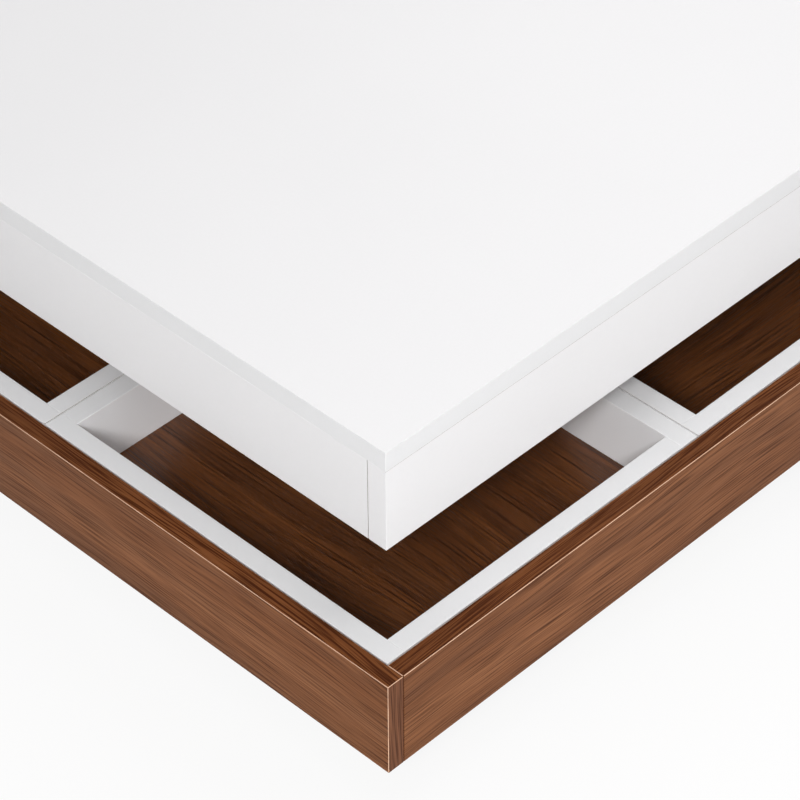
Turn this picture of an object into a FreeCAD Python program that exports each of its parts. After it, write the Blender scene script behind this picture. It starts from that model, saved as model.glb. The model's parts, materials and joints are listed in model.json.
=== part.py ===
import FreeCAD, Part
import math
import os

# A square swivel coffee table. A low walnut frame holds open white bins round a pedestal,
# and a white box top turns on the pedestal on a ring bearing.
# All lengths are in millimetres. The floor is at zero height and the swivel axis is the Z axis.

# Walnut frame and the board that closes it below
table_side = 1200.0
frame_thickness = 16.0
frame_height = 90.0
frame_edge_radius = 0.8
bottom_thickness = 18.0

# Recessed plinth and the glides under it
plinth_inset = 110.0
plinth_thickness = 18.0
plinth_height = 59.0
glide_radius = 8.0
glide_height = 6.0
glide_stem_radius = 2.0
glide_stem_length = 14.0

# Open bins: three across and three along, with the pedestal in the middle
bin_wall_thickness = 17.5
bin_floor_thickness = 15.0
bin_gap = 0.8
bin_frame_gap = 1.5
bin_rim_drop = 0.6
bin_floor_clearance = 0.3
middle_length_x = 478.0
middle_length_y = 416.0

# White top: a slab on four aprons, with a panel and two ribs inside
top_inset = 63.2
top_gap = 50.0
slab_thickness = 18.0
slab_edge_radius = 1.1
apron_thickness = 18.0
apron_height = 77.0
apron_edge_radius = 0.4
apron_end_gap = 0.5
panel_thickness = 18.0
panel_recess = 12.0
panel_clearance = 0.3
rib_thickness = 18.0
rib_spacing = 400.0

# Pedestal that carries the bearing
pedestal_thickness = 18.0
cap_thickness = 18.0
cap_overhang = 17.0

# Ring bearing: two flat rings, side by side, with caged balls running between them
bearing_height = 12.0
bearing_step = 1.5
ball_circle_radius = 165.0
ball_radius = 2.5
ball_count = 36
race_clearance = 0.3
ring_gap = 1.4
ring_width = 15.3
cage_thickness = 0.6
cage_height = 6.4
cage_pocket_clearance = 0.1

# Dowels and screws
dowel_radius = 3.0
dowel_face_depth = 10.0
dowel_end_depth = 20.0
dowel_end_gap = 0.5
dowel_level_shares = (0.3, 0.7)
slab_dowel_shares = (-0.3, 0.3)
hole_clearance = 0.05
screw_head_height = 2.6
wood_screw_head_radius = 4.2
wood_screw_radius = 2.0
wood_screw_length = 40.0
plinth_screw_shares = (-0.6, 0.6)
cap_screw_share = 0.8
ring_screw_head_radius = 3.4
ring_screw_radius = 1.7
ring_screw_length = 22.0
ring_screw_count = 8

# Length by which a cut reaches past the face that it leaves
overrun = 1.0

# Heights, from the floor up
frame_bottom = glide_height + plinth_height
bottom_top = frame_bottom + bottom_thickness
rim = frame_bottom + frame_height
bin_top = rim - bin_rim_drop
bin_floor_top = bottom_top + bin_floor_thickness
top_bottom = rim + top_gap
panel_bottom = top_bottom + panel_recess
panel_top = panel_bottom + panel_thickness
slab_bottom = top_bottom + apron_height
slab_top = slab_bottom + slab_thickness
cap_top = panel_bottom - bearing_height
cap_bottom = cap_top - cap_thickness

# Places across the table
half_side = table_side / 2
frame_inside = half_side - frame_thickness
plinth_half = half_side - plinth_inset
plinth_line = plinth_half - plinth_thickness / 2
top_half = half_side - top_inset
apron_inside = top_half - apron_thickness
half_middle_x = middle_length_x / 2
half_middle_y = middle_length_y / 2
half_bin_gap = bin_gap / 2
bin_grid_half = frame_inside - bin_frame_gap + half_bin_gap


def vec(x, y, z):
    return FreeCAD.Vector(x, y, z)


def board(x_span, y_span, z_span):
    """A board cut square, between two faces along each axis."""
    corner = vec(x_span[0], y_span[0], z_span[0])
    return Part.makeBox(x_span[1] - x_span[0], y_span[1] - y_span[0], z_span[1] - z_span[0], corner)


def softened(shape, radius):
    """The board with all its edges rounded."""
    return shape.makeFillet(radius, shape.Edges)


def softened_above(shape, radius, underside):
    """The board with its edges rounded, but for those round its underside."""
    edges = [edge for edge in shape.Edges if edge.CenterOfMass.z > underside + radius]
    return shape.makeFillet(radius, edges)


def ring(inner_radius, outer_radius, z_span):
    """A flat ring round the swivel axis."""
    height = z_span[1] - z_span[0]
    base = vec(0, 0, z_span[0])
    outside = Part.makeCylinder(outer_radius, height, base)
    inside = Part.makeCylinder(inner_radius, height + overrun * 2, base - vec(0, 0, overrun))
    return outside.cut(inside)


def drilled(shape, holes):
    """The one solid that is left of a piece when its holes are made."""
    return shape.cut(Part.makeCompound(holes)).Solids[0]


class Dowel:
    """A round dowel across a butt joint: into the face of one board and the end of the other."""

    def __init__(self, joint, direction):
        self.start = joint - direction * dowel_face_depth
        self.direction = direction
        self.length = dowel_face_depth + dowel_end_depth

    def pin(self):
        return Part.makeCylinder(dowel_radius, self.length, self.start, self.direction)

    def hole(self):
        start = self.start - self.direction * dowel_end_gap
        length = self.length + dowel_end_gap * 2
        return Part.makeCylinder(dowel_radius + hole_clearance, length, start, self.direction)


class Screw:
    """A countersunk screw whose head is flush with the face that it enters."""

    def __init__(self, head, direction, head_radius, radius, length):
        self.head = head
        self.direction = direction
        self.head_radius = head_radius
        self.radius = radius
        self.length = length

    def shape(self, clearance):
        wide = self.head_radius + clearance
        narrow = self.radius + clearance
        cone = Part.makeCone(wide, narrow, screw_head_height + clearance, self.head, self.direction)
        shank = Part.makeCylinder(narrow, self.length + clearance, self.head, self.direction)
        return cone.fuse(shank).removeSplitter()

    def body(self):
        return self.shape(0)

    def hole(self):
        return self.shape(hole_clearance)


def wood_screw(x, y, z):
    return Screw(vec(x, y, z), vec(0, 0, -1), wood_screw_head_radius, wood_screw_radius, wood_screw_length)


def ring_screw(index, circle_radius, z, direction):
    angle = 2 * math.pi * index / ring_screw_count
    head = vec(circle_radius * math.cos(angle), circle_radius * math.sin(angle), z)
    return Screw(head, direction, ring_screw_head_radius, ring_screw_radius, ring_screw_length)


def four_boards(x_span, y_span, z_span, thickness, through, edge_radius=0, end_gap=0):
    """Four boards round a rectangle, and the dowels in its corners.

    The pair along the axis named by through runs the full length, and the other pair butts between it.
    """
    west, east = x_span
    south, north = y_span
    trim = thickness + end_gap
    trim_x = trim if through == "y" else 0
    trim_y = trim if through == "x" else 0
    boards = {
        "west": board((west, west + thickness), (south + trim_y, north - trim_y), z_span),
        "east": board((east - thickness, east), (south + trim_y, north - trim_y), z_span),
        "south": board((west + trim_x, east - trim_x), (south, south + thickness), z_span),
        "north": board((west + trim_x, east - trim_x), (north - thickness, north), z_span),
    }
    dowels = []
    for share in dowel_level_shares:
        level = z_span[0] + share * (z_span[1] - z_span[0])
        for side_x, edge_x in ((1, west), (-1, east)):
            for side_y, edge_y in ((1, south), (-1, north)):
                if through == "y":
                    joint = vec(edge_x + side_x * thickness, edge_y + side_y * thickness / 2, level)
                    dowels.append(Dowel(joint, vec(side_x, 0, 0)))
                else:
                    joint = vec(edge_x + side_x * thickness / 2, edge_y + side_y * thickness, level)
                    dowels.append(Dowel(joint, vec(0, side_y, 0)))
    holes = [dowel.hole() for dowel in dowels]
    for side in boards:
        piece = boards[side]
        if edge_radius > 0:
            piece = softened(piece, edge_radius)
        boards[side] = drilled(piece, holes)
    return boards, dowels


nodes = {}
base_dowels = []
top_dowels = []

# Walnut frame: the west and east boards run through to the corners
side_span = (-half_side, half_side)
frame, dowels = four_boards(side_span, side_span, (frame_bottom, rim), frame_thickness, "y", frame_edge_radius)
base_dowels += dowels
for side, piece in frame.items():
    nodes["frame_" + side] = piece

# Plinth under the bottom board, with a rail across its middle
plinth_span = (-plinth_half, plinth_half)
plinth_levels = (glide_height, frame_bottom)
plinth, dowels = four_boards(plinth_span, plinth_span, plinth_levels, plinth_thickness, "y")
base_dowels += dowels
rail_end = plinth_half - plinth_thickness
rail = board((-rail_end, rail_end), (-plinth_thickness / 2, plinth_thickness / 2), plinth_levels)
rail_dowels = []
for share in dowel_level_shares:
    level = glide_height + share * plinth_height
    for side_x in (1, -1):
        rail_dowels.append(Dowel(vec(-side_x * rail_end, 0, level), vec(side_x, 0, 0)))
base_dowels += rail_dowels

# Glides under the corners, the middles of the sides and the middle of the rail
glides = []
stem_holes = []
for x in (-plinth_line, 0, plinth_line):
    for y in (-plinth_line, 0, plinth_line):
        pad = Part.makeCylinder(glide_radius, glide_height, vec(x, y, 0))
        stem = Part.makeCylinder(glide_stem_radius, glide_height + glide_stem_length, vec(x, y, 0))
        glides.append(pad.fuse(stem).removeSplitter())
        hole_length = glide_stem_length + dowel_end_gap + overrun
        hole_base = vec(x, y, glide_height - overrun)
        stem_holes.append(Part.makeCylinder(glide_stem_radius + hole_clearance, hole_length, hole_base))
nodes["glides"] = Part.makeCompound(glides)

# Bottom board and the screws that hold it on the plinth
screw_places = []
for share in plinth_screw_shares:
    place = share * plinth_half
    screw_places += [(place, plinth_line), (place, -plinth_line)]
    screw_places += [(plinth_line, place), (-plinth_line, place)]
plinth_screws = [wood_screw(x, y, bottom_top) for x, y in screw_places]
screw_holes = [screw.hole() for screw in plinth_screws]
bottom_span = (-frame_inside, frame_inside)
nodes["bottom_board"] = drilled(board(bottom_span, bottom_span, (frame_bottom, bottom_top)), screw_holes)
nodes["plinth_screws"] = Part.makeCompound([screw.body() for screw in plinth_screws])
plinth["cross_rail"] = rail
for side, piece in plinth.items():
    holes = stem_holes + screw_holes + [dowel.hole() for dowel in rail_dowels]
    nodes["plinth_" + side] = drilled(piece, holes)

# Open bins: the cells of a three by three grid, without the middle one
edges_x = (-bin_grid_half, -half_middle_x, half_middle_x, bin_grid_half)
edges_y = (-bin_grid_half, -half_middle_y, half_middle_y, bin_grid_half)
bin_cells = {
    "bin_south_west": (0, 0, "y"),
    "bin_south": (1, 0, "x"),
    "bin_south_east": (2, 0, "y"),
    "bin_west": (0, 1, "y"),
    "bin_east": (2, 1, "y"),
    "bin_north_west": (0, 2, "y"),
    "bin_north": (1, 2, "x"),
    "bin_north_east": (2, 2, "y"),
}
floor_margin = half_bin_gap + bin_wall_thickness + bin_floor_clearance
for name, (column, row, through) in bin_cells.items():
    cell_x = (edges_x[column], edges_x[column + 1])
    cell_y = (edges_y[row], edges_y[row + 1])
    bin_x = (cell_x[0] + half_bin_gap, cell_x[1] - half_bin_gap)
    bin_y = (cell_y[0] + half_bin_gap, cell_y[1] - half_bin_gap)
    walls, dowels = four_boards(bin_x, bin_y, (bottom_top, bin_top), bin_wall_thickness, through)
    base_dowels += dowels
    pair_x = Part.makeCompound([walls["south"], walls["north"]])
    pair_y = Part.makeCompound([walls["west"], walls["east"]])
    nodes[name + "_long_walls"] = pair_y if through == "y" else pair_x
    nodes[name + "_end_walls"] = pair_x if through == "y" else pair_y
    floor_x = (cell_x[0] + floor_margin, cell_x[1] - floor_margin)
    floor_y = (cell_y[0] + floor_margin, cell_y[1] - floor_margin)
    nodes[name + "_floor"] = board(floor_x, floor_y, (bottom_top, bin_floor_top))

# Pedestal: four boards in the middle cell, with a cap screwed down on them
pedestal_half_x = half_middle_x - half_bin_gap
pedestal_half_y = half_middle_y - half_bin_gap
pedestal_x = (-pedestal_half_x, pedestal_half_x)
pedestal_y = (-pedestal_half_y, pedestal_half_y)
pedestal, dowels = four_boards(pedestal_x, pedestal_y, (bottom_top, cap_bottom), pedestal_thickness, "y")
base_dowels += dowels
cap_screw_x = pedestal_half_x - pedestal_thickness / 2
cap_screw_y = cap_screw_share * pedestal_half_y
cap_screws = [wood_screw(x, y, cap_top) for x in (-cap_screw_x, cap_screw_x) for y in (-cap_screw_y, cap_screw_y)]
cap_holes = [screw.hole() for screw in cap_screws]
for side, piece in pedestal.items():
    nodes["pedestal_" + side] = drilled(piece, cap_holes)
nodes["pedestal_cap_screws"] = Part.makeCompound([screw.body() for screw in cap_screws])

# Ring bearing: the outer ring lies on the cap and the inner ring carries the top
ball_height = cap_top + bearing_height / 2
race = Part.makeTorus(ball_circle_radius, ball_radius + race_clearance, vec(0, 0, ball_height))
outer_bore = ball_circle_radius + ring_gap / 2
inner_rim = ball_circle_radius - ring_gap / 2
outer_ring = ring(outer_bore, outer_bore + ring_width, (cap_top, panel_bottom - bearing_step))
inner_ring = ring(inner_rim - ring_width, inner_rim, (cap_top + bearing_step, panel_bottom))
lower_circle = outer_bore + ring_width / 2 + race_clearance
upper_circle = inner_rim - ring_width / 2 - race_clearance
lower_screws = []
upper_screws = []
for index in range(ring_screw_count):
    lower_screws.append(ring_screw(index, lower_circle, panel_bottom - bearing_step, vec(0, 0, -1)))
    upper_screws.append(ring_screw(index, upper_circle, cap_top + bearing_step, vec(0, 0, 1)))
lower_holes = [screw.hole() for screw in lower_screws]
upper_holes = [screw.hole() for screw in upper_screws]
nodes["bearing_outer_ring"] = drilled(outer_ring, lower_holes + [race])
nodes["bearing_inner_ring"] = drilled(inner_ring, upper_holes + [race])
nodes["bearing_outer_screws"] = Part.makeCompound([screw.body() for screw in lower_screws])
nodes["bearing_inner_screws"] = Part.makeCompound([screw.body() for screw in upper_screws])

cap_half_x = half_middle_x + cap_overhang
cap_half_y = half_middle_y + cap_overhang
cap = board((-cap_half_x, cap_half_x), (-cap_half_y, cap_half_y), (cap_bottom, cap_top))
nodes["pedestal_cap"] = drilled(cap, cap_holes + lower_holes)

# Balls and the thin cage that keeps them spaced
balls = []
pockets = []
for index in range(ball_count):
    angle = 2 * math.pi * index / ball_count
    outward = vec(math.cos(angle), math.sin(angle), 0)
    centre = outward * ball_circle_radius + vec(0, 0, ball_height)
    balls.append(Part.makeSphere(ball_radius, centre))
    pocket_radius = ball_radius + cage_pocket_clearance
    pockets.append(Part.makeCylinder(pocket_radius, ball_radius * 2, centre - outward * ball_radius, outward))
cage_levels = (ball_height - cage_height / 2, ball_height + cage_height / 2)
cage = ring(ball_circle_radius - cage_thickness / 2, ball_circle_radius + cage_thickness / 2, cage_levels)
nodes["bearing_balls"] = Part.makeCompound(balls)
nodes["bearing_cage"] = drilled(cage, pockets)

# White top: the south and north aprons run through to the corners, and the slab lies on all four
top_span = (-top_half, top_half)
apron_levels = (top_bottom, slab_bottom)
aprons, dowels = four_boards(
    top_span, top_span, apron_levels, apron_thickness, "x", apron_edge_radius, apron_end_gap
)
top_dowels += dowels
slab_dowels = []
apron_line = top_half - apron_thickness / 2
for share in slab_dowel_shares:
    for x, y in ((share * top_half, apron_line), (share * top_half, -apron_line)):
        slab_dowels.append(Dowel(vec(x, y, slab_bottom), vec(0, 0, -1)))
        slab_dowels.append(Dowel(vec(y, x, slab_bottom), vec(0, 0, -1)))
top_dowels += slab_dowels
slab_holes = [dowel.hole() for dowel in slab_dowels]
for side, piece in aprons.items():
    nodes["apron_" + side] = drilled(piece, slab_holes)
slab = softened_above(board(top_span, top_span, (slab_bottom, slab_top)), slab_edge_radius, slab_bottom)
nodes["table_top"] = drilled(slab, slab_holes)

# Panel that the bearing is screwed to, and the ribs between it and the slab
panel_half = apron_inside - panel_clearance
panel_span = (-panel_half, panel_half)
nodes["swivel_panel"] = drilled(board(panel_span, panel_span, (panel_bottom, panel_top)), upper_holes)
for name, rib_line in (("rib_south", -rib_spacing / 2), ("rib_north", rib_spacing / 2)):
    rib_span = (rib_line - rib_thickness / 2, rib_line + rib_thickness / 2)
    nodes[name] = board(panel_span, rib_span, (panel_top, slab_bottom))

nodes["base_dowels"] = Part.makeCompound([dowel.pin() for dowel in base_dowels])
nodes["top_dowels"] = Part.makeCompound([dowel.pin() for dowel in top_dowels])

os.makedirs("parts", exist_ok=True)
for name, shape in nodes.items():
    shape.exportStep("parts/" + name + ".step")
print(len(nodes), "pieces and groups, table", table_side, "wide and", slab_top, "high")
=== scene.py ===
# %% [markdown]
# # A swivel coffee table
# The table is a low walnut frame that holds open white bins, with a white box top that turns above it.
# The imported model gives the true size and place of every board, so this lesson only makes the finishes:
# rounded boards with foil, edge bands and worn edges, the studio light, and the camera of the photograph.
# All lengths are in metres, and the swivel axis is the Z axis.

# %% Load the model
import json
import math

import bpy
import numpy as np
from mathutils import Matrix, Vector


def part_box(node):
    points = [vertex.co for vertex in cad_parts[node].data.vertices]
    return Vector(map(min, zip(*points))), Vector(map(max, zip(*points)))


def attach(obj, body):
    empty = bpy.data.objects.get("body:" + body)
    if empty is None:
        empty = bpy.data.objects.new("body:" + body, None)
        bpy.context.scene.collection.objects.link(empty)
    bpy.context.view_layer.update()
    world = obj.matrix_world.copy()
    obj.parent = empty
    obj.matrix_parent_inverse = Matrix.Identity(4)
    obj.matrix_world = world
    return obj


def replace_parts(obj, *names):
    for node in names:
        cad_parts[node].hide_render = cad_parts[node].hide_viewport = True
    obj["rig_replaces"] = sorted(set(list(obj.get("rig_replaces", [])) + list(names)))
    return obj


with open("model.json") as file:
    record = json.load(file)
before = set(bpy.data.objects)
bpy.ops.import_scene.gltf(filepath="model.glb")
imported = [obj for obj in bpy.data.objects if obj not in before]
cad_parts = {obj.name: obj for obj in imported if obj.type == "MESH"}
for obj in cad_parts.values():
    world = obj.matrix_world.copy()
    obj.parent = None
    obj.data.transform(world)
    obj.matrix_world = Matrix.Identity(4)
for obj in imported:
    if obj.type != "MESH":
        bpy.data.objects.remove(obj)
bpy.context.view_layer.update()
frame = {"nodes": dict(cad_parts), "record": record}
scene = bpy.context.scene
scene.view_settings.view_transform = "Standard"

# %% [markdown]
# ## Camera
# The photograph looks down on one corner of the table through a long lens, so the edges run almost
# parallel. A Track To constraint could aim a camera, but would keep it level, and the photograph is rolled
# a little. Here three unit vectors are worked out instead: its right, its up, and backwards from where it
# looks. They become the columns of the camera's matrix, and its place is measured from the near top corner
# of the frame.

# %% Camera
heading = math.radians(44.54)
tilt = math.radians(41.11)
roll = math.radians(-0.32)
lens_to_width = 4.18
sensor_width_mm = 36.0
farthest_seen = 50.0
camera_offset = Vector((-1.1802, -1.1751, 1.7265))


def camera_axes(heading, tilt, roll):
    """Right, up and backward vectors of a camera that looks along a heading, tilted down, then rolled."""
    look = Vector((math.cos(tilt) * math.cos(heading), math.cos(tilt) * math.sin(heading), -math.sin(tilt)))
    level = Vector((math.sin(heading), -math.cos(heading), 0))
    above = level.cross(look)
    right = level * math.cos(roll) + above * math.sin(roll)
    up = above * math.cos(roll) - level * math.sin(roll)
    return right, up, -look


near_low, near_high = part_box("frame_west")
near_corner = Vector((near_low.x, near_low.y, near_high.z))
camera_data = bpy.data.cameras.new("photo_camera")
camera_data.sensor_width = sensor_width_mm
camera_data.lens = sensor_width_mm * lens_to_width
camera_data.clip_end = farthest_seen
camera = bpy.data.objects.new("photo_camera", camera_data)
scene.collection.objects.link(camera)
camera_turn = Matrix(camera_axes(heading, tilt, roll)).transposed().to_4x4()
camera.matrix_world = Matrix.Translation(near_corner + camera_offset) @ camera_turn
scene.camera = camera
camera_place = [round(value, 3) for value in camera.location]
print("camera at", camera_place, "with a lens of", round(camera_data.lens, 1), "mm")

# %% [markdown]
# ## Node helpers
# Every finish is a small graph of shader nodes. Making each node takes three steps: add it, set its
# options, and link or set its inputs. One helper does all three, so a finish reads as a list of what
# feeds what. The others are short names for the nodes that come back in every finish.


# %% Node helpers
def wire(tree, kind, inputs=None, **settings):
    """Adds a shader node, sets its options, then links or sets each input by name or number."""
    node = tree.nodes.new("ShaderNode" + kind)
    for name, value in settings.items():
        setattr(node, name, value)
    for name, value in (inputs or {}).items():
        if isinstance(value, bpy.types.NodeSocket):
            tree.links.new(value, node.inputs[name])
        else:
            node.inputs[name].default_value = value
    return node


def maths(tree, operation, *values, clamp=False):
    """One Math node: the operation on its values, cut to between 0 and 1 if clamp is set."""
    return wire(tree, "Math", dict(enumerate(values)), operation=operation, use_clamp=clamp).outputs[0]


def remap(tree, value, low, high, to_low=0.0, to_high=1.0):
    """A value spread from one range to another, and held at the ends."""
    inputs = {"Value": value, "From Min": low, "From Max": high, "To Min": to_low, "To Max": to_high}
    return wire(tree, "MapRange", inputs).outputs["Result"]


def blend_colour(tree, share, first, second, blend="MIX"):
    """A mix of two colours by a share from 0 to 1."""
    node = wire(tree, "Mix", {0: share, 6: first, 7: second}, data_type="RGBA", blend_type=blend)
    return node.outputs[2]


def noise(tree, vector, waves, detail=2.0, roughness=0.5):
    """Soft noise on coordinates that are stretched by three factors, in waves per metre."""
    stretched = wire(tree, "VectorMath", {0: vector, 1: waves}, operation="MULTIPLY").outputs[0]
    inputs = {"Vector": stretched, "Scale": 1.0, "Detail": detail, "Roughness": roughness}
    return wire(tree, "TexNoise", inputs).outputs["Fac"]


print("node helpers are ready")

# %% [markdown]
# ## Groups and colours
# A look that several finishes share is made once, as a shader group with sockets of its own. Copying its
# nodes into each material would work too, but then a change would have to be made in each. Colours are
# written as a painting program shows them, from 0 to 255, and turned into the linear light that shaders
# work with.


# %% Groups and colours
def new_group(name, inputs, outputs):
    """An empty shader group with named sockets: the group, its inputs inside and its outputs inside."""
    group = bpy.data.node_groups.new(name, "ShaderNodeTree")
    for socket, kind in inputs.items():
        group.interface.new_socket(socket, in_out="INPUT", socket_type="NodeSocket" + kind)
    for socket, kind in outputs.items():
        group.interface.new_socket(socket, in_out="OUTPUT", socket_type="NodeSocket" + kind)
    return group, group.nodes.new("NodeGroupInput").outputs, group.nodes.new("NodeGroupOutput").inputs


def place(tree, group, inputs):
    """The group put into a material with its own values."""
    return wire(tree, "Group", inputs, node_tree=group).outputs


def colour(red, green, blue):
    """A colour written as on a screen, from 0 to 255, turned into the linear light that shaders use."""
    share = np.array((red, green, blue)) / 255.0
    linear = np.where(share <= 0.04045, share / 12.92, ((share + 0.055) / 1.055) ** 2.4)
    return (*[float(value) for value in linear], 1.0)


print("middle grey in linear light is", round(colour(128, 128, 128)[0], 3))

# %% [markdown]
# ## Shared effect: wood grain
# Walnut has soft bands of lighter and darker heartwood, smoky patches, growth lines that wander, and
# short dark pores, all drawn out along the board. An image could show them, but a graph stays sharp at
# any distance. Each layer is noise on the board's own grain map, whose first coordinate runs along the
# grain and whose second runs across it. Few waves per metre along and many across give long streaks, and
# slow noise bends them a little.

# %% Layers of the grain
grain_layers = {
    "bands": {"waves": (1.3, 26.0, 1.0), "span": (0.34, 0.66)},
    "smoke": {"waves": (1.2, 40.0, 1.0), "span": (0.48, 0.66), "detail": 3.0},
    "streaks": {"waves": (1.1, 120.0, 1.0), "span": (0.40, 0.68), "detail": 3.0, "roughness": 0.6},
    "lines": {"waves": (2.4, 420.0, 1.0), "span": (0.38, 0.66)},
    "pores": {"waves": (15.0, 740.0, 1.0), "span": (0.44, 0.64)},
}
mark_shares = {"streaks": 0.12, "lines": 0.28, "pores": 0.82}
smoke_share = 0.45
sway_heights = {(1.6, 4.0, 1.0): 0.06, (6.0, 16.0, 1.0): 0.006}
print("the grain has the layers", ", ".join(grain_layers))


# %% Wood grain group
def sway(group, grain):
    """The grain map, moved across the board by (noise - 1/2) times a height, for each of two slow noises."""
    shift = 0.0
    for waves, height in sway_heights.items():
        swing = maths(group, "SUBTRACT", noise(group, grain, waves, detail=1.0), 0.5)
        shift = maths(group, "MULTIPLY_ADD", swing, height, shift)
    offset = wire(group, "CombineXYZ", {"Y": shift}).outputs[0]
    return wire(group, "VectorMath", {0: grain, 1: offset}, operation="ADD").outputs[0]


def make_grain_group():
    """Bands, smoke, streaks, lines and pores as layers of stretched noise, mixed between four colours."""
    tones = {"Dark": "Color", "Middle": "Color", "Light": "Color", "Smoke": "Color"}
    group, given, result = new_group(
        "wood_grain",
        {"Grain": "Vector", **tones, "Contrast": "Float"},
        {"Color": "Color", "Gloss": "Float", "Height": "Float"},
    )
    swayed = sway(group, given["Grain"])
    layers = {}
    for name, layer in grain_layers.items():
        settings = {key: layer[key] for key in ("detail", "roughness") if key in layer}
        layers[name] = remap(group, noise(group, swayed, layer["waves"], **settings), *layer["span"])
    warm = blend_colour(group, layers["bands"], given["Middle"], given["Light"])
    smoky = blend_colour(group, maths(group, "MULTIPLY", layers["smoke"], smoke_share), warm, given["Smoke"])
    marks = 0.0
    for name, share in mark_shares.items():
        marks = maths(group, "MULTIPLY_ADD", layers[name], share, marks)
    darkened = maths(group, "MULTIPLY", marks, given["Contrast"], clamp=True)
    group.links.new(blend_colour(group, darkened, smoky, given["Dark"]), result["Color"])
    group.links.new(marks, result["Gloss"])
    group.links.new(maths(group, "MULTIPLY", marks, -1.0), result["Height"])
    return group


grain_group = make_grain_group()
print("grain group has", len(grain_group.nodes), "nodes")

# %% [markdown]
# ## Shared effect: foil
# The white boards, the dark boards and the plastics all have a slightly uneven skin: a fine pebble that
# breaks up a reflection, and a very slow drift of tone. One group makes both from noise on Object
# coordinates, which are the metres of the model itself, so the pebble has the same size on every piece.

# %% Foil group
soft_span = (0.3, 0.7)
drift_waves = (3.0, 3.0, 3.0)
fleck_waves = (420.0, 420.0, 420.0)
pebble_waves = (1300.0, 1300.0, 1300.0)
drift_share = 0.7


def make_foil_group():
    """A fine pebble for the bump and the gloss, and a slow drift of the colour towards a second tone."""
    tones = {"Tone": "Color", "Drift Tone": "Color"}
    group, given, result = new_group(
        "foil_skin",
        {"Place": "Vector", **tones, "Gloss Low": "Float", "Gloss High": "Float"},
        {"Color": "Color", "Roughness": "Float", "Height": "Float"},
    )
    drift = remap(group, noise(group, given["Place"], drift_waves, detail=3.0), *soft_span)
    fleck = remap(group, noise(group, given["Place"], fleck_waves), *soft_span)
    fleck_part = maths(group, "MULTIPLY", fleck, 1 - drift_share)
    share = maths(group, "MULTIPLY_ADD", drift, drift_share, fleck_part)
    group.links.new(blend_colour(group, share, given["Tone"], given["Drift Tone"]), result["Color"])
    gloss = remap(group, fleck, 0.0, 1.0, given["Gloss Low"], given["Gloss High"])
    group.links.new(gloss, result["Roughness"])
    group.links.new(noise(group, given["Place"], pebble_waves), result["Height"])
    return group


foil_group = make_foil_group()
print("foil group has", len(foil_group.nodes), "nodes")

# %% [markdown]
# ## Shared effect: worn edges, painted highlights and painted shade
# A foil-covered board shows a thin line of bare board or glue where the foil and the edge band meet, and
# a dark seam where it butts against another board. Both could be painted by hand. Here the meshes below
# mark those narrow faces with an attribute named arris: 1 on a worn edge and -1 on a seam. On the walnut
# frame the light worn line is partly bare edge and partly a painted highlight, and -1 also marks painted
# shade on its outer lower edges. This group breaks the worn mark up with a little noise, so that the line
# is not equally bright all along.

# %% Edge group
edge_waves = (60.0, 60.0, 60.0)
edge_span = (0.35, 0.65)


def make_edge_group():
    """The arris mark times a soft noise along the edge, between a least and a most strength."""
    group, given, result = new_group(
        "edge_wear_and_highlight",
        {"Mark": "Float", "Place": "Vector", "Least": "Float", "Most": "Float"},
        {"Mask": "Float"},
    )
    patches = noise(group, given["Place"], edge_waves, detail=3.0)
    strength = remap(group, patches, *edge_span, given["Least"], given["Most"])
    group.links.new(maths(group, "MULTIPLY", given["Mark"], strength, clamp=True), result["Mask"])
    return group


edge_group = make_edge_group()
print("edge group has", len(edge_group.nodes), "nodes")

# %% [markdown]
# ## What all finishes share
# A finish is a Principled shader whose colour, gloss and bump come from the groups. The boards also carry
# two marks on their faces: arris, as above, and band, which is 0 on broad faces, 1 on the narrow bands
# and 2 on the ends. The marks could be separate materials on the same mesh, but as attributes they tint
# one finish in place.

# %% Finish helpers
# Arris 1 marks worn edges, on walnut partly a painted highlight; -1 marks seams, and painted shade on the
# frame's lower edges.
narrow_band, board_end, wear_and_highlight_mark, seam_and_shade_mark = 1.0, 2.0, 1.0, -1.0
mark_margin = 0.1
bump_strength = 0.6


def surface(name):
    """A new material with its Principled shader, its tree and its Object coordinates."""
    material = bpy.data.materials.new(name)
    material.use_nodes = True
    tree = material.node_tree
    return material, tree, tree.nodes["Principled BSDF"], wire(tree, "TexCoord").outputs["Object"]


def finish_surface(tree, shader, tone, gloss, height, relief):
    """Links a colour, a gloss and a bump of a given relief in metres to the shader."""
    bump = wire(tree, "Bump", {"Height": height, "Strength": bump_strength, "Distance": relief})
    tree.links.new(tone, shader.inputs["Base Color"])
    tree.links.new(gloss, shader.inputs["Roughness"])
    tree.links.new(bump.outputs["Normal"], shader.inputs["Normal"])


def face_mark(tree, name):
    """The value that an attribute has on each face."""
    return wire(tree, "Attribute", attribute_name=name).outputs["Fac"]


def on_faces(tree, name, value):
    """One on the faces where an attribute has this value, and zero elsewhere."""
    return maths(tree, "COMPARE", face_mark(tree, name), value, mark_margin)


def marked_tone(tree, coordinates, tone, band_tint, edge_tone, edge_strength, seam_and_shade_tone):
    """A tone tinted on the narrow bands, covered along worn edges (on walnut partly painted highlight) and
    seams and painted shade.
    """
    banded = blend_colour(tree, on_faces(tree, "band", narrow_band), tone, band_tint, "MULTIPLY")
    least, most = edge_strength
    inputs = {"Mark": face_mark(tree, "arris"), "Place": coordinates, "Least": least, "Most": most}
    tone_with_wear_and_highlight = blend_colour(tree, place(tree, edge_group, inputs)["Mask"], banded, edge_tone)
    return blend_colour(tree, on_faces(tree, "arris", seam_and_shade_mark), tone_with_wear_and_highlight, seam_and_shade_tone)


print("a finish can be made")

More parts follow.
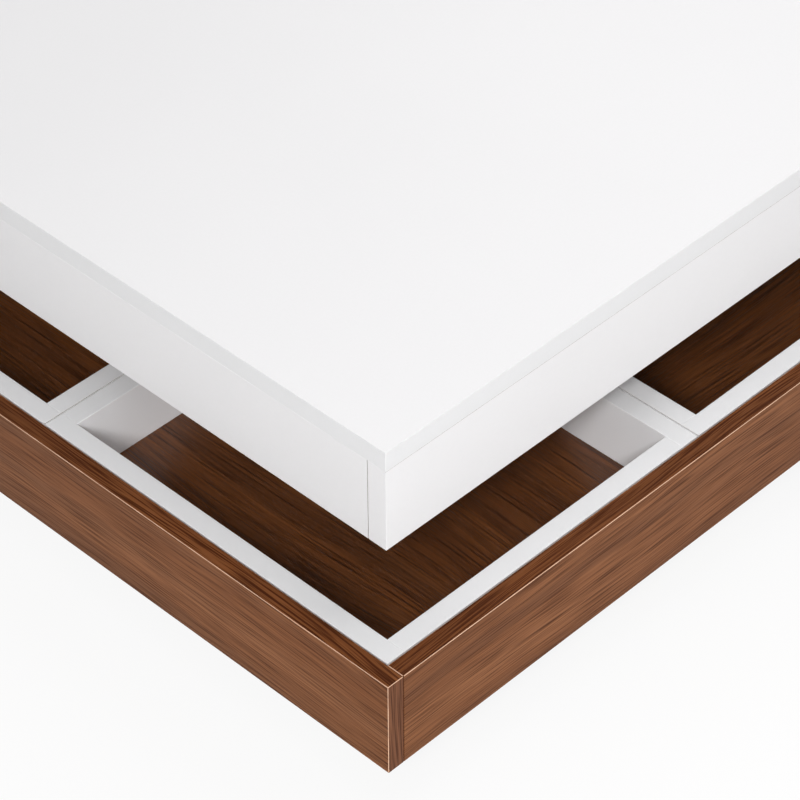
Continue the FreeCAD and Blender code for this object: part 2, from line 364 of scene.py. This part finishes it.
# %% [markdown]
# ## Walnut finishes
# The frame and the floors of the bins are covered with walnut foil. The broad faces are a middle brown,
# the narrow top bands are redder and darker, the ends are a little cooler, and the edges show as light tan
# lines, partly bare foil edge and partly painted highlight. The floors get darker, redder colours than the
# frame, which paint extra shade and bounce light into the bins. One function makes each walnut from its own
# four colours: two for the bands of heartwood, one for the smoke and one for the dark lines, pores and
# seams, and for the painted shade on the frame's lower edges.

# %% Walnut materials
band_contrast = 0.5
walnut_wear_and_highlight = (0.7, 1.0)
end_tint = colour(222, 220, 234)


def walnut(name, tones, band_tint, edge_tone, contrast, gloss, sheen, relief):
    """Walnut foil: grain on the board's own map, tinted bands and ends, edges of wear and painted highlight,
    seams and painted shade.
    """
    material, tree, shader, coordinates = surface(name)
    grain_map = wire(tree, "UVMap", uv_map="grain").outputs["UV"]
    strength = maths(tree, "MULTIPLY_ADD", on_faces(tree, "band", narrow_band), band_contrast, contrast)
    grain = place(tree, grain_group, {"Grain": grain_map, "Contrast": strength, **tones})
    ended = blend_colour(tree, on_faces(tree, "band", board_end), grain["Color"], end_tint, "MULTIPLY")
    tone = marked_tone(tree, coordinates, ended, band_tint, edge_tone, walnut_wear_and_highlight, tones["Dark"])
    roughness = remap(tree, grain["Gloss"], 0.0, 1.0, *gloss)
    finish_surface(tree, shader, tone, roughness, grain["Height"], relief)
    shader.inputs["Specular IOR Level"].default_value = sheen
    return material


outer_tones = {
    "Dark": colour(76, 39, 15), "Middle": colour(135, 84, 49),
    "Light": colour(150, 98, 62), "Smoke": colour(101, 67, 46),
}
# The floors are the frame's walnut foil made darker and redder, as painted shade and bounce light in the
# bins.
floor_tones_with_painted_shade = {
    "Dark": colour(55, 28, 12), "Middle": colour(102, 59, 29),
    "Light": colour(122, 73, 37), "Smoke": colour(83, 53, 33),
}
materials = {
    # The walnut's light edge tone is partly worn foil edge and partly a painted highlight on the rounded
    # edges.
    "walnut": walnut(
        "walnut", outer_tones, band_tint=colour(234, 220, 202), edge_tone=colour(226, 188, 160),
        contrast=0.85, gloss=(0.32, 0.46), sheen=0.06, relief=0.00006,
    ),
    "walnut_floor": walnut(
        "walnut_floor", floor_tones_with_painted_shade, band_tint=colour(210, 190, 180), edge_tone=colour(120, 84, 60),
        contrast=0.93, gloss=(0.20, 0.30), sheen=0.45, relief=0.00001,
    ),
}
print("made", ", ".join(materials))

# %% [markdown]
# ## White and dark boards
# The bins, the pedestal and the top are covered with satin white foil, which is never quite even. Its
# worn edges are a soft grey and its seams a darker, warmer grey. The plinth, the bottom and the ribs
# inside the top are dark brown boards that show only from low down. Both are the same function with other
# colours.

# %% Foil board materials
foil_relief = 0.00002
foil_sheen = 0.3
foil_wear = (0.75, 0.95)


def foil_skin(tree, coordinates, tone, drift_tone, gloss):
    """The foil group with a tone, the tone that it drifts to, and its least and most roughness."""
    looks = {"Tone": tone, "Drift Tone": drift_tone, "Gloss Low": gloss[0], "Gloss High": gloss[1]}
    return place(tree, foil_group, {"Place": coordinates, **looks})


def foil_board(name, tone, drift_tone, band_tint, edge_tone, seam_and_shade_tone, gloss):
    """Foil on board: the pebbled skin, with a thin line of one tone on worn edges, of another on seams."""
    material, tree, shader, coordinates = surface(name)
    skin = foil_skin(tree, coordinates, tone, drift_tone, gloss)
    marked = marked_tone(tree, coordinates, skin["Color"], band_tint, edge_tone, foil_wear, seam_and_shade_tone)
    finish_surface(tree, shader, marked, skin["Roughness"], skin["Height"], foil_relief)
    shader.inputs["Specular IOR Level"].default_value = foil_sheen
    return material


materials["white_board"] = foil_board(
    "white_board", tone=colour(236, 235, 236), drift_tone=colour(233, 232, 233),
    band_tint=colour(250, 251, 251), edge_tone=colour(160, 152, 146), seam_and_shade_tone=colour(116, 104, 92),
    gloss=(0.44, 0.52),
)
materials["plinth_board"] = foil_board(
    "plinth_board", tone=colour(62, 46, 36), drift_tone=colour(52, 38, 30),
    band_tint=colour(240, 236, 232), edge_tone=colour(90, 70, 56), seam_and_shade_tone=colour(40, 30, 24),
    gloss=(0.5, 0.62),
)
print("made white_board and plinth_board")

# %% [markdown]
# ## Metals, plastics and dowels
# The ring bearing is satin aluminium with turning marks, its balls are polished steel and the screws are
# zinc plated. The marks that a lathe leaves are circles round the swivel axis, so noise on the distance
# from that axis draws them. Glides and the ball cage are moulded plastic with the pebbled skin, and the
# dowels are raw beech.

# %% Small part finishes
cloud_waves = (90.0, 90.0, 90.0)
turning_relief = 0.00002
moulded_relief = 0.00004
raw_relief = 0.00008


def metal(name, tone, drift_tone, gloss, rings):
    """Metal with fine circles round the swivel axis: noise on the distance to it, in rings per metre."""
    material, tree, shader, coordinates = surface(name)
    flat = wire(tree, "VectorMath", {0: coordinates, 1: (1.0, 1.0, 0.0)}, operation="MULTIPLY").outputs[0]
    distance = wire(tree, "VectorMath", {0: flat}, operation="LENGTH").outputs["Value"]
    circles = wire(tree, "CombineXYZ", {"X": distance}).outputs[0]
    marks = noise(tree, circles, (rings, 1.0, 1.0), detail=3.0)
    cloud = remap(tree, noise(tree, coordinates, cloud_waves, detail=3.0), *soft_span)
    tone_mixed = blend_colour(tree, cloud, tone, drift_tone)
    finish_surface(tree, shader, tone_mixed, remap(tree, marks, *soft_span, *gloss), marks, turning_relief)
    shader.inputs["Metallic"].default_value = 1.0
    return material


def plastic(name, tone, drift_tone, gloss):
    """Moulded plastic: the pebbled skin alone."""
    material, tree, shader, coordinates = surface(name)
    skin = foil_skin(tree, coordinates, tone, drift_tone, gloss)
    finish_surface(tree, shader, skin["Color"], skin["Roughness"], skin["Height"], moulded_relief)
    return material


def raw_wood(name, tones, gloss):
    """Raw turned wood: the grain group on Object coordinates."""
    material, tree, shader, coordinates = surface(name)
    grain = place(tree, grain_group, {"Grain": coordinates, "Contrast": 1.0, **tones})
    roughness = remap(tree, grain["Gloss"], 0.0, 1.0, *gloss)
    finish_surface(tree, shader, grain["Color"], roughness, grain["Height"], raw_relief)
    return material


print("functions for metal, plastic and raw wood are ready")

# %% Small part materials
beech_tones = {
    "Dark": colour(176, 142, 100), "Middle": colour(206, 176, 134),
    "Light": colour(222, 196, 158), "Smoke": colour(196, 162, 120),
}
materials["bearing_aluminium"] = metal(
    "bearing_aluminium", (0.60, 0.60, 0.61, 1), (0.52, 0.52, 0.54, 1), gloss=(0.28, 0.44), rings=2600.0
)
materials["ball_steel"] = metal(
    "ball_steel", (0.66, 0.66, 0.67, 1), (0.60, 0.60, 0.62, 1), gloss=(0.06, 0.14), rings=900.0
)
materials["screw_steel"] = metal(
    "screw_steel", (0.55, 0.55, 0.52, 1), (0.46, 0.46, 0.45, 1), gloss=(0.30, 0.46), rings=3200.0
)
materials["glide_plastic"] = plastic(
    "glide_plastic", colour(44, 44, 45), colour(34, 34, 35), gloss=(0.5, 0.65)
)
materials["cage_plastic"] = plastic(
    "cage_plastic", colour(222, 218, 206), colour(212, 207, 194), gloss=(0.4, 0.55)
)
materials["dowel_wood"] = raw_wood("dowel_wood", beech_tones, gloss=(0.5, 0.7))
print("made", len(materials), "materials in all")

# %% [markdown]
# ## The shape of a board
# A real board is never a sharp box: its edges are broken by sanding, and its ends too. A Bevel modifier
# could round a box, but then the grain map would have to be unwrapped by hand. Here the board is a
# surface of two parameters: a rounded rectangle is carried along the board's length, and near each end it
# draws in along a quarter of a circle. The same two parameters, the length and the way round, are the
# board's grain map.

# %% Board points and faces
corner_steps = 4
end_steps = 4
cross_axes = {0: (1, 2), 1: (2, 0), 2: (0, 1)}


def board_points(low, high, axis, edge_radius, end_radii):
    """Points of a board as an array of rings along it, points round each ring, and X, Y and Z.

    Way round: four quarter circles whose centres lie one edge radius in from the sides.
    Along: at each end the distance from the end is r(1 - cos a) and the ring draws in by r(1 - sin a),
    for a from 0 to a right angle.
    """
    first, second = cross_axes[axis]
    size = np.array(high) - np.array(low)
    middle = (np.array(high) + np.array(low)) / 2
    quarter = np.linspace(0, np.pi / 2, corner_steps + 1)
    angle = (np.arange(4)[:, None] * np.pi / 2 + quarter[None, :]).ravel()
    turn = np.repeat(np.arange(4), corner_steps + 1)
    centre_a = np.where((turn == 0) | (turn == 3), 1, -1) * (size[first] / 2 - edge_radius)
    centre_b = np.where(turn < 2, 1, -1) * (size[second] / 2 - edge_radius)
    bend = np.linspace(0, np.pi / 2, end_steps + 1)
    from_low, from_high = (radius * (1 - np.cos(bend)) for radius in end_radii)
    drawn_low, drawn_high = (radius * (1 - np.sin(bend)) for radius in end_radii)
    along = np.concatenate([low[axis] + from_low, (high[axis] - from_high)[::-1]])
    radius = edge_radius - np.concatenate([drawn_low, drawn_high[::-1]])[:, None]
    points = np.zeros((len(along), len(angle), 3))
    points[:, :, axis] = along[:, None]
    points[:, :, first] = middle[first] + centre_a + radius * np.cos(angle)
    points[:, :, second] = middle[second] + centre_b + radius * np.sin(angle)
    return points


def board_faces(points):
    """Corner numbers of the four-sided faces between neighbouring rings, and of the two end faces."""
    rings, around = points.shape[:2]
    ring, spoke = np.meshgrid(np.arange(rings - 1), np.arange(around), indexing="ij")
    following = (spoke + 1) % around
    corners = [(ring, spoke), (ring, following), (ring + 1, following), (ring + 1, spoke)]
    quads = np.stack([row * around + column for row, column in corners], axis=-1).reshape(-1, 4)
    first_ring = np.arange(around)
    return quads, np.stack([first_ring[::-1], first_ring + (rings - 1) * around])


print("a board has", 4 * (corner_steps + 1), "points round it and", 2 * (end_steps + 1), "rings along it")

# %% [markdown]
# ## Grain map and marks of a board
# The map tells the finish where the grain runs, and the marks tell it which faces are worn edges, seams,
# narrow bands or ends. They could be painted face by face, but each follows from the way that a face
# looks: a slanted face is an edge, and the narrow faces along a board are its bands.

# %% Board surface
flat_limit = 0.9
facing_limit = 0.05
band_limit = 0.7
narrow_share = 0.4


def board_map(points, axis, end_axes):
    """Grain map of every face corner: the length along the board, and the way walked round it.

    An end face shows two axes across the board instead.
    """
    rings, around = points.shape[:2]
    along = points[:, 0, axis]
    flat_ring = points[rings // 2]
    steps = np.linalg.norm(np.roll(flat_ring, -1, axis=0) - flat_ring, axis=1)
    walked = np.concatenate([[0], np.cumsum(steps)])
    ring, spoke = np.meshgrid(np.arange(rings - 1), np.arange(around), indexing="ij")
    corners = [(ring, spoke), (ring, spoke + 1), (ring + 1, spoke + 1), (ring + 1, spoke)]
    sides = np.stack([np.stack([along[row], walked[column]], axis=-1) for row, column in corners], axis=2)
    return np.concatenate([sides.reshape(-1, 2), points[0][::-1, end_axes], points[-1][:, end_axes]])


def board_surface(low, high, axis, edge_radius, end_radii, grain_offset, wear_and_highlight_edges=None, seam_and_shade_edges=()):
    """Points, faces, grain map and marks of one board, whose grain runs along an axis.

    A worn edge and a dark edge are each named by the two sides that meet there. On walnut the worn edge is
    partly a painted highlight, and the dark edge is a seam, except on the frame's outer lower edges, where
    it is painted shade. With no worn edges named, every edge is worn. A board that is thinnest along its
    axis
    lies flat: its sides are then narrow bands and its ends broad faces.
    """
    points = board_points(low, high, axis, edge_radius, end_radii)
    quads, caps = board_faces(points)
    first, second = cross_axes[axis]
    size = np.array(high) - np.array(low)
    upright, level = (first, second) if size[first] >= size[second] else (second, first)
    grain_map = board_map(points, axis, [upright, level]) + grain_offset
    points = points.reshape(-1, 3)

    corners = points[quads]
    normals = np.cross(corners[:, 2] - corners[:, 0], corners[:, 3] - corners[:, 1])
    normals /= np.linalg.norm(normals, axis=1, keepdims=True)
    slanted = np.abs(normals).max(axis=1) < flat_limit
    marks = np.full(len(normals), wear_and_highlight_mark if wear_and_highlight_edges is None else 0.0)
    for named, mark in ((wear_and_highlight_edges or (), wear_and_highlight_mark), (seam_and_shade_edges, seam_and_shade_mark)):
        for sides in named:
            marks[(normals @ np.array(sides).T > facing_limit).all(axis=1)] = mark
    arris = np.concatenate([slanted * marks, [0.0, 0.0]])
    lying = size[axis] < min(size[first], size[second])
    narrow = size[level] < narrow_share * size[upright]
    on_band = lying | (narrow & (np.abs(normals[:, upright]) > band_limit))
    band = np.concatenate([on_band * narrow_band, [0.0 if lying else board_end] * 2])
    return points, quads, caps, grain_map, arris, band


print("a board's map and marks can be made")

# %% [markdown]
# ## From surfaces to pieces
# Several boards can share one piece, as the two long walls of a bin do. Their arrays are joined end to
# end, with the face numbers moved on, and written into one mesh. Each piece then rides on its body, takes
# the place of its CAD node and names the finish that it has.

# %% Piece maker
end_share = 0.9
grain_step = np.array((3.7, 1.31))
made_pieces = []


def piece(name, boards, node, body, slot):
    """One mesh from one or more board surfaces, riding on a body in place of a CAD node."""
    points, faces, maps, arris, band = [], [], [], [], []
    for surface_points, quads, caps, grain_map, edge_mark, band_mark in boards:
        start = sum(len(block) for block in points)
        points.append(surface_points)
        faces += (quads + start).tolist() + (caps + start).tolist()
        maps.append(grain_map)
        arris.append(edge_mark)
        band.append(band_mark)
    mesh = bpy.data.meshes.new(name)
    mesh.from_pydata(np.concatenate(points).tolist(), [], faces)
    mesh.uv_layers.new(name="grain").data.foreach_set("uv", np.concatenate(maps).ravel())
    for mark_name, marks in (("arris", arris), ("band", band)):
        mark = mesh.attributes.new(mark_name, "FLOAT", "FACE")
        mark.data.foreach_set("value", np.concatenate(marks))
    mesh.materials.append(materials[slot])
    mesh.update()
    made = bpy.data.objects.new(name, mesh)
    scene.collection.objects.link(made)
    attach(made, body)
    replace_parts(made, node)
    made_pieces.append(made)


def like_ends(edge_radius):
    """Radii of two ends, a little smaller than the edge radius, so that no corner of a ring closes up."""
    return edge_radius * end_share, edge_radius * end_share


def grain_start(number):
    """A place on the endless grain for the board with this number, far from every other board's."""
    return grain_step * number


print("pieces can be made")

# %% [markdown]
# ## Walnut frame
# Two boards run through to the corners and two butt between them, so one end of a through board shows at
# the near corner. All upper edges are light where the foil ends, and so are the upright outer corners; this
# light line is partly bare edge and partly a painted highlight. The butt joints are dark seams, and the
# outer lower edges get the same dark tone as painted shade on their downward rounding. An edge is named by
# the two sides that meet there. Each board starts at its own place on the grain, and for the two near boards
# that place was chosen for how the figure falls.

# %% Walnut frame
west, east = (-1, 0, 0), (1, 0, 0)
south, north = (0, -1, 0), (0, 1, 0)
above, below = (0, 0, 1), (0, 0, -1)
frame_edge = 0.0008
upper_edges = [(side, above) for side in (west, east, south, north)]
frame_boards = {
    "frame_west": (1, west, (56.5, 3.685)),
    "frame_east": (1, east, (3.7, 1.31)),
    "frame_south": (0, south, (52.6, 5.540)),
    "frame_north": (0, north, (11.1, 3.93)),
}
for node, (axis, outside, grain_at) in frame_boards.items():
    low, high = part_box(node)
    inside = tuple(-share for share in outside)
    runs_through = axis == 1
    end_sides = (south, north) if runs_through else (west, east)
    corners = [(outside, end) for end in end_sides] if runs_through else []
    joints = [(inside if runs_through else outside, end) for end in end_sides]
    # The (outside, below) entry paints shade in the dark tone onto the downward rounding of the outer lower
    # edge.
    board = board_surface(
        low, high, axis, frame_edge, like_ends(frame_edge), grain_at,
        wear_and_highlight_edges=upper_edges + corners, seam_and_shade_edges=joints + [(outside, below)],
    )
    piece("walnut_" + node, [board], node, "base", "walnut")
print("walnut frame of", len(frame_boards), "boards")

# %% [markdown]
# ## Bins
# Each bin is four white boards and a walnut floor. The long walls run through and the end walls butt
# between them. The box of a wall node spans both of its boards, so the wall's thickness is read from the
# step between the two pairs. The grain of a floor runs along the long walls. Where two bins meet, the
# upper edges are dark seams, and all their other edges stay plain.

# %% Bins
wall_edge = 0.0004
floor_edge = 0.0003
side_margin = 0.01
first_bin_grain = 20
pair_size = 2
boards_per_bin = 2 * pair_size + 1
frame_inside = -near_high.x - side_margin
sides_of_table = ("south_west", "south", "south_east", "west", "east", "north_west", "north", "north_east")


def wall_pair(low, high, axis, thickness, number, seam_sides):
    """Two boards along one axis, at the far sides of a box, with seams on the upper edges of some sides."""
    across = 1 - axis
    first_high, second_low = list(high), list(low)
    first_high[across] = low[across] + thickness
    second_low[across] = high[across] - thickness
    first_side, second_side = (south, north) if axis == 0 else (west, east)
    pair = ((low, first_high, second_side), (second_low, high, first_side))
    boards = []
    for board_low, board_high, other_side in pair:
        seam_and_shade_edges = [(side, above) for side in seam_sides if side != other_side]
        grain_at = grain_start(number + len(boards))
        ends = like_ends(wall_edge)
        boards.append(board_surface(board_low, board_high, axis, wall_edge, ends, grain_at, (), seam_and_shade_edges))
    return boards


for number, side in enumerate(sides_of_table):
    name = "bin_" + side
    long_low, long_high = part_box(name + "_long_walls")
    end_low, end_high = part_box(name + "_end_walls")
    axis = 1 if end_low.x > long_low.x + wall_edge else 0
    thickness = end_low[1 - axis] - long_low[1 - axis]
    count = first_bin_grain + number * boards_per_bin
    outer_sides = ((west, long_low.x), (east, long_high.x), (south, long_low.y), (north, long_high.y))
    next_to_bins = [facing for facing, reach in outer_sides if abs(reach) < frame_inside]
    long_walls = wall_pair(long_low, long_high, axis, thickness, count, next_to_bins)
    piece("white_" + name + "_long_walls", long_walls, name + "_long_walls", "base", "white_board")
    end_seams = [facing for facing in next_to_bins if facing[axis]]
    end_walls = wall_pair(end_low, end_high, 1 - axis, thickness, count + pair_size, end_seams)
    piece("white_" + name + "_end_walls", end_walls, name + "_end_walls", "base", "white_board")
    low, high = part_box(name + "_floor")
    grain_at = grain_start(count + 2 * pair_size)
    floor = board_surface(low, high, axis, floor_edge, like_ends(floor_edge), grain_at, ())
    piece("walnut_" + name + "_floor", [floor], name + "_floor", "base", "walnut_floor")
print("bins:", len(sides_of_table), "with walls", round(thickness * 1000, 1), "mm thick")

# %% [markdown]
# ## White top
# The top is a slab on four aprons. The slab's upper edges are softly rounded and its underside is nearly
# sharp, so the joint to the aprons stays a thin line. Carrying its outline upwards, along Z, gives each
# of its two faces an edge of its own. The south and north aprons run through to the corners, with a worn
# line under the slab. The west and east aprons butt behind them, and a dark seam shows at each of their
# ends.

# %% White top
slab_edge = 0.0004
slab_under_edge = 0.0002
apron_edge = 0.0004
slab_grain = 80
first_apron_grain = 81
low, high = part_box("table_top")
slab_ends = (slab_under_edge, slab_edge * end_share)
slab = board_surface(low, high, 2, slab_edge, slab_ends, grain_start(slab_grain), ())
piece("white_table_top", [slab], "table_top", "top", "white_board")
aprons = {
    "apron_south": (0, [(south, above)], ()),
    "apron_north": (0, [(north, above)], ()),
    "apron_west": (1, (), [(west, south), (west, north)]),
    "apron_east": (1, (), [(east, south), (east, north)]),
}
for number, (node, (axis, wear_and_highlight_edges, seam_and_shade_edges)) in enumerate(aprons.items()):
    low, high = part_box(node)
    grain_at = grain_start(first_apron_grain + number)
    apron = board_surface(low, high, axis, apron_edge, like_ends(apron_edge), grain_at, wear_and_highlight_edges, seam_and_shade_edges)
    piece("white_" + node, [apron], node, "top", "white_board")
print("white top of a slab and", len(aprons), "aprons")

# %% [markdown]
# ## Boards that carry the table
# Below and inside are boards that show only from low down or with the top turned: the pedestal with its
# cap, the panel under the top that the bearing is screwed to, the ribs, the bottom board and the recessed
# plinth. They are made as the others are, along the axis of their greatest length.

# %% Carrying boards
hidden_edge = 0.0004
first_carrying_grain = 90
carrying_boards = {
    "pedestal_west": ("base", "white_board"), "pedestal_east": ("base", "white_board"),
    "pedestal_south": ("base", "white_board"), "pedestal_north": ("base", "white_board"),
    "pedestal_cap": ("base", "white_board"), "swivel_panel": ("top", "white_board"),
    "rib_south": ("top", "plinth_board"), "rib_north": ("top", "plinth_board"),
    "bottom_board": ("base", "plinth_board"), "plinth_cross_rail": ("base", "plinth_board"),
    "plinth_west": ("base", "plinth_board"), "plinth_east": ("base", "plinth_board"),
    "plinth_south": ("base", "plinth_board"), "plinth_north": ("base", "plinth_board"),
}
for number, (node, (body, slot)) in enumerate(carrying_boards.items()):
    low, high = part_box(node)
    axis = int(np.argmax(np.array(high) - np.array(low)))
    grain_at = grain_start(first_carrying_grain + number)
    board = board_surface(low, high, axis, hidden_edge, like_ends(hidden_edge), grain_at)
    piece(slot.split("_")[0] + "_" + node, [board], node, body, slot)
print("carrying boards:", len(carrying_boards))

# %% [markdown]
# ## Parts that keep their CAD shape
# The bearing, its balls and cage, the screws, the dowels and the glides are turned or pressed parts whose
# solids are already right. They only get their finish, by the material slot that the record names for
# each.

# %% Finishes of the other nodes
slot_of_node = {row["node"]: row["material_slot"] for row in frame["record"]["subparts"]}
replaced = {node for made in made_pieces for node in made["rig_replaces"]}
kept_nodes = [node for node in frame["nodes"] if node not in replaced]
for node in kept_nodes:
    mesh = frame["nodes"][node].data
    mesh.materials.clear()
    mesh.materials.append(materials[slot_of_node[node]])
print("kept nodes:", ", ".join(sorted(kept_nodes)))

# %% [markdown]
# ## Floor
# The photograph has a pure white ground. More light on the floor would make it white, but would also burn
# out the table. The camera and the reflections therefore see the floor mostly as plain white light, with a
# share of real diffuse floor left in it, which keeps the table's shadow and fades away with distance. All
# other light meets an ordinary pale floor.

# %% Floor
floor_half = 9.0
floor_grey = (0.9, 0.9, 0.9, 1)
floor_roughness = 0.9
pure_white = (1, 1, 1, 1)
floor_shadow_share = 0.12
shadow_reach = (1.2, 4.0)


def seen_directly(tree):
    """One where a ray comes from the camera, or from a mirror or glass, and zero elsewhere."""
    path = wire(tree, "LightPath").outputs
    direct = maths(tree, "MAXIMUM", path["Is Camera Ray"], path["Is Glossy Ray"])
    return maths(tree, "MAXIMUM", direct, path["Is Transmission Ray"])


floor_mesh = bpy.data.meshes.new("studio_floor")
floor_signs = ((-1, -1), (1, -1), (1, 1), (-1, 1))
floor_mesh.from_pydata([(x * floor_half, y * floor_half, 0) for x, y in floor_signs], [], [(0, 1, 2, 3)])
floor_object = bpy.data.objects.new("studio_floor", floor_mesh)
scene.collection.objects.link(floor_object)
floor_material, tree, shader, coordinates = surface("studio_floor")
shader.inputs["Base Color"].default_value = floor_grey
shader.inputs["Roughness"].default_value = floor_roughness
shader.inputs["Specular IOR Level"].default_value = 0.0
glow = wire(tree, "Emission", {"Color": pure_white, "Strength": 1.0})
distance = wire(tree, "VectorMath", {0: coordinates}, operation="LENGTH").outputs["Value"]
white_share = remap(tree, distance, *shadow_reach, 1 - floor_shadow_share, 1.0)
glow_share = maths(tree, "MULTIPLY", seen_directly(tree), white_share)
mixed = wire(tree, "MixShader", {0: glow_share, 1: shader.outputs[0], 2: glow.outputs[0]})
tree.links.new(mixed.outputs[0], tree.nodes["Material Output"].inputs["Surface"])
floor_mesh.materials.append(floor_material)
print("floor is", floor_half * 2, "m wide")

# %% [markdown]
# ## World and lamps
# Behind the floor the world is white for the camera and in reflections, and otherwise nearly dark, so that
# the lamps alone shape the table. An even white world would light it too, but without any shadow in the
# bins. One narrow lamp in front gives that shadow its edge, and four wide ones fill the rest. The right
# side of the table comes out a little brighter than the left. Each lamp is placed by its compass angle and
# its height angle, as seen from the near corner of the frame, and looks at that corner.

# %% World and lamps
ambient_strength = 0.01
lamp_distance = 4.0
lamps = {
    "front_lamp": {"turn": 214.0, "rise": 39.5, "width": 1.0, "watts": 121.0},
    "high_front_lamp": {"turn": 225.0, "rise": 62.0, "width": 2.2, "watts": 31.5},
    "low_right_lamp": {"turn": 270.0, "rise": 12.0, "width": 2.2, "watts": 44.5},
    "back_lamp": {"turn": 30.0, "rise": 36.0, "width": 2.2, "watts": 53.0},
    "high_back_lamp": {"turn": 0.0, "rise": 62.0, "width": 2.2, "watts": 33.5},
}
world = bpy.data.worlds.new("studio_world")
world.use_nodes = True
scene.world = world
tree = world.node_tree
ambient = tree.nodes["Background"]
ambient.inputs["Color"].default_value = pure_white
ambient.inputs["Strength"].default_value = ambient_strength
white_ground = wire(tree, "Background", {"Color": pure_white, "Strength": 1.0})
grounds = {0: seen_directly(tree), 1: ambient.outputs[0], 2: white_ground.outputs[0]}
mixed = wire(tree, "MixShader", grounds)
tree.links.new(mixed.outputs[0], tree.nodes["World Output"].inputs["Surface"])
for name, lamp_facts in lamps.items():
    lamp_data = bpy.data.lights.new(name, "AREA")
    lamp_data.shape = "DISK"
    lamp_data.size = lamp_facts["width"]
    lamp_data.energy = lamp_facts["watts"]
    lamp = bpy.data.objects.new(name, lamp_data)
    scene.collection.objects.link(lamp)
    turn, rise = math.radians(lamp_facts["turn"]), math.radians(lamp_facts["rise"])
    outward = Vector((math.cos(rise) * math.cos(turn), math.cos(rise) * math.sin(turn), math.sin(rise)))
    lamp.location = near_corner + outward * lamp_distance
    lamp.rotation_euler = outward.to_track_quat("Z", "Y").to_euler()
print("lamps:", ", ".join(lamps))
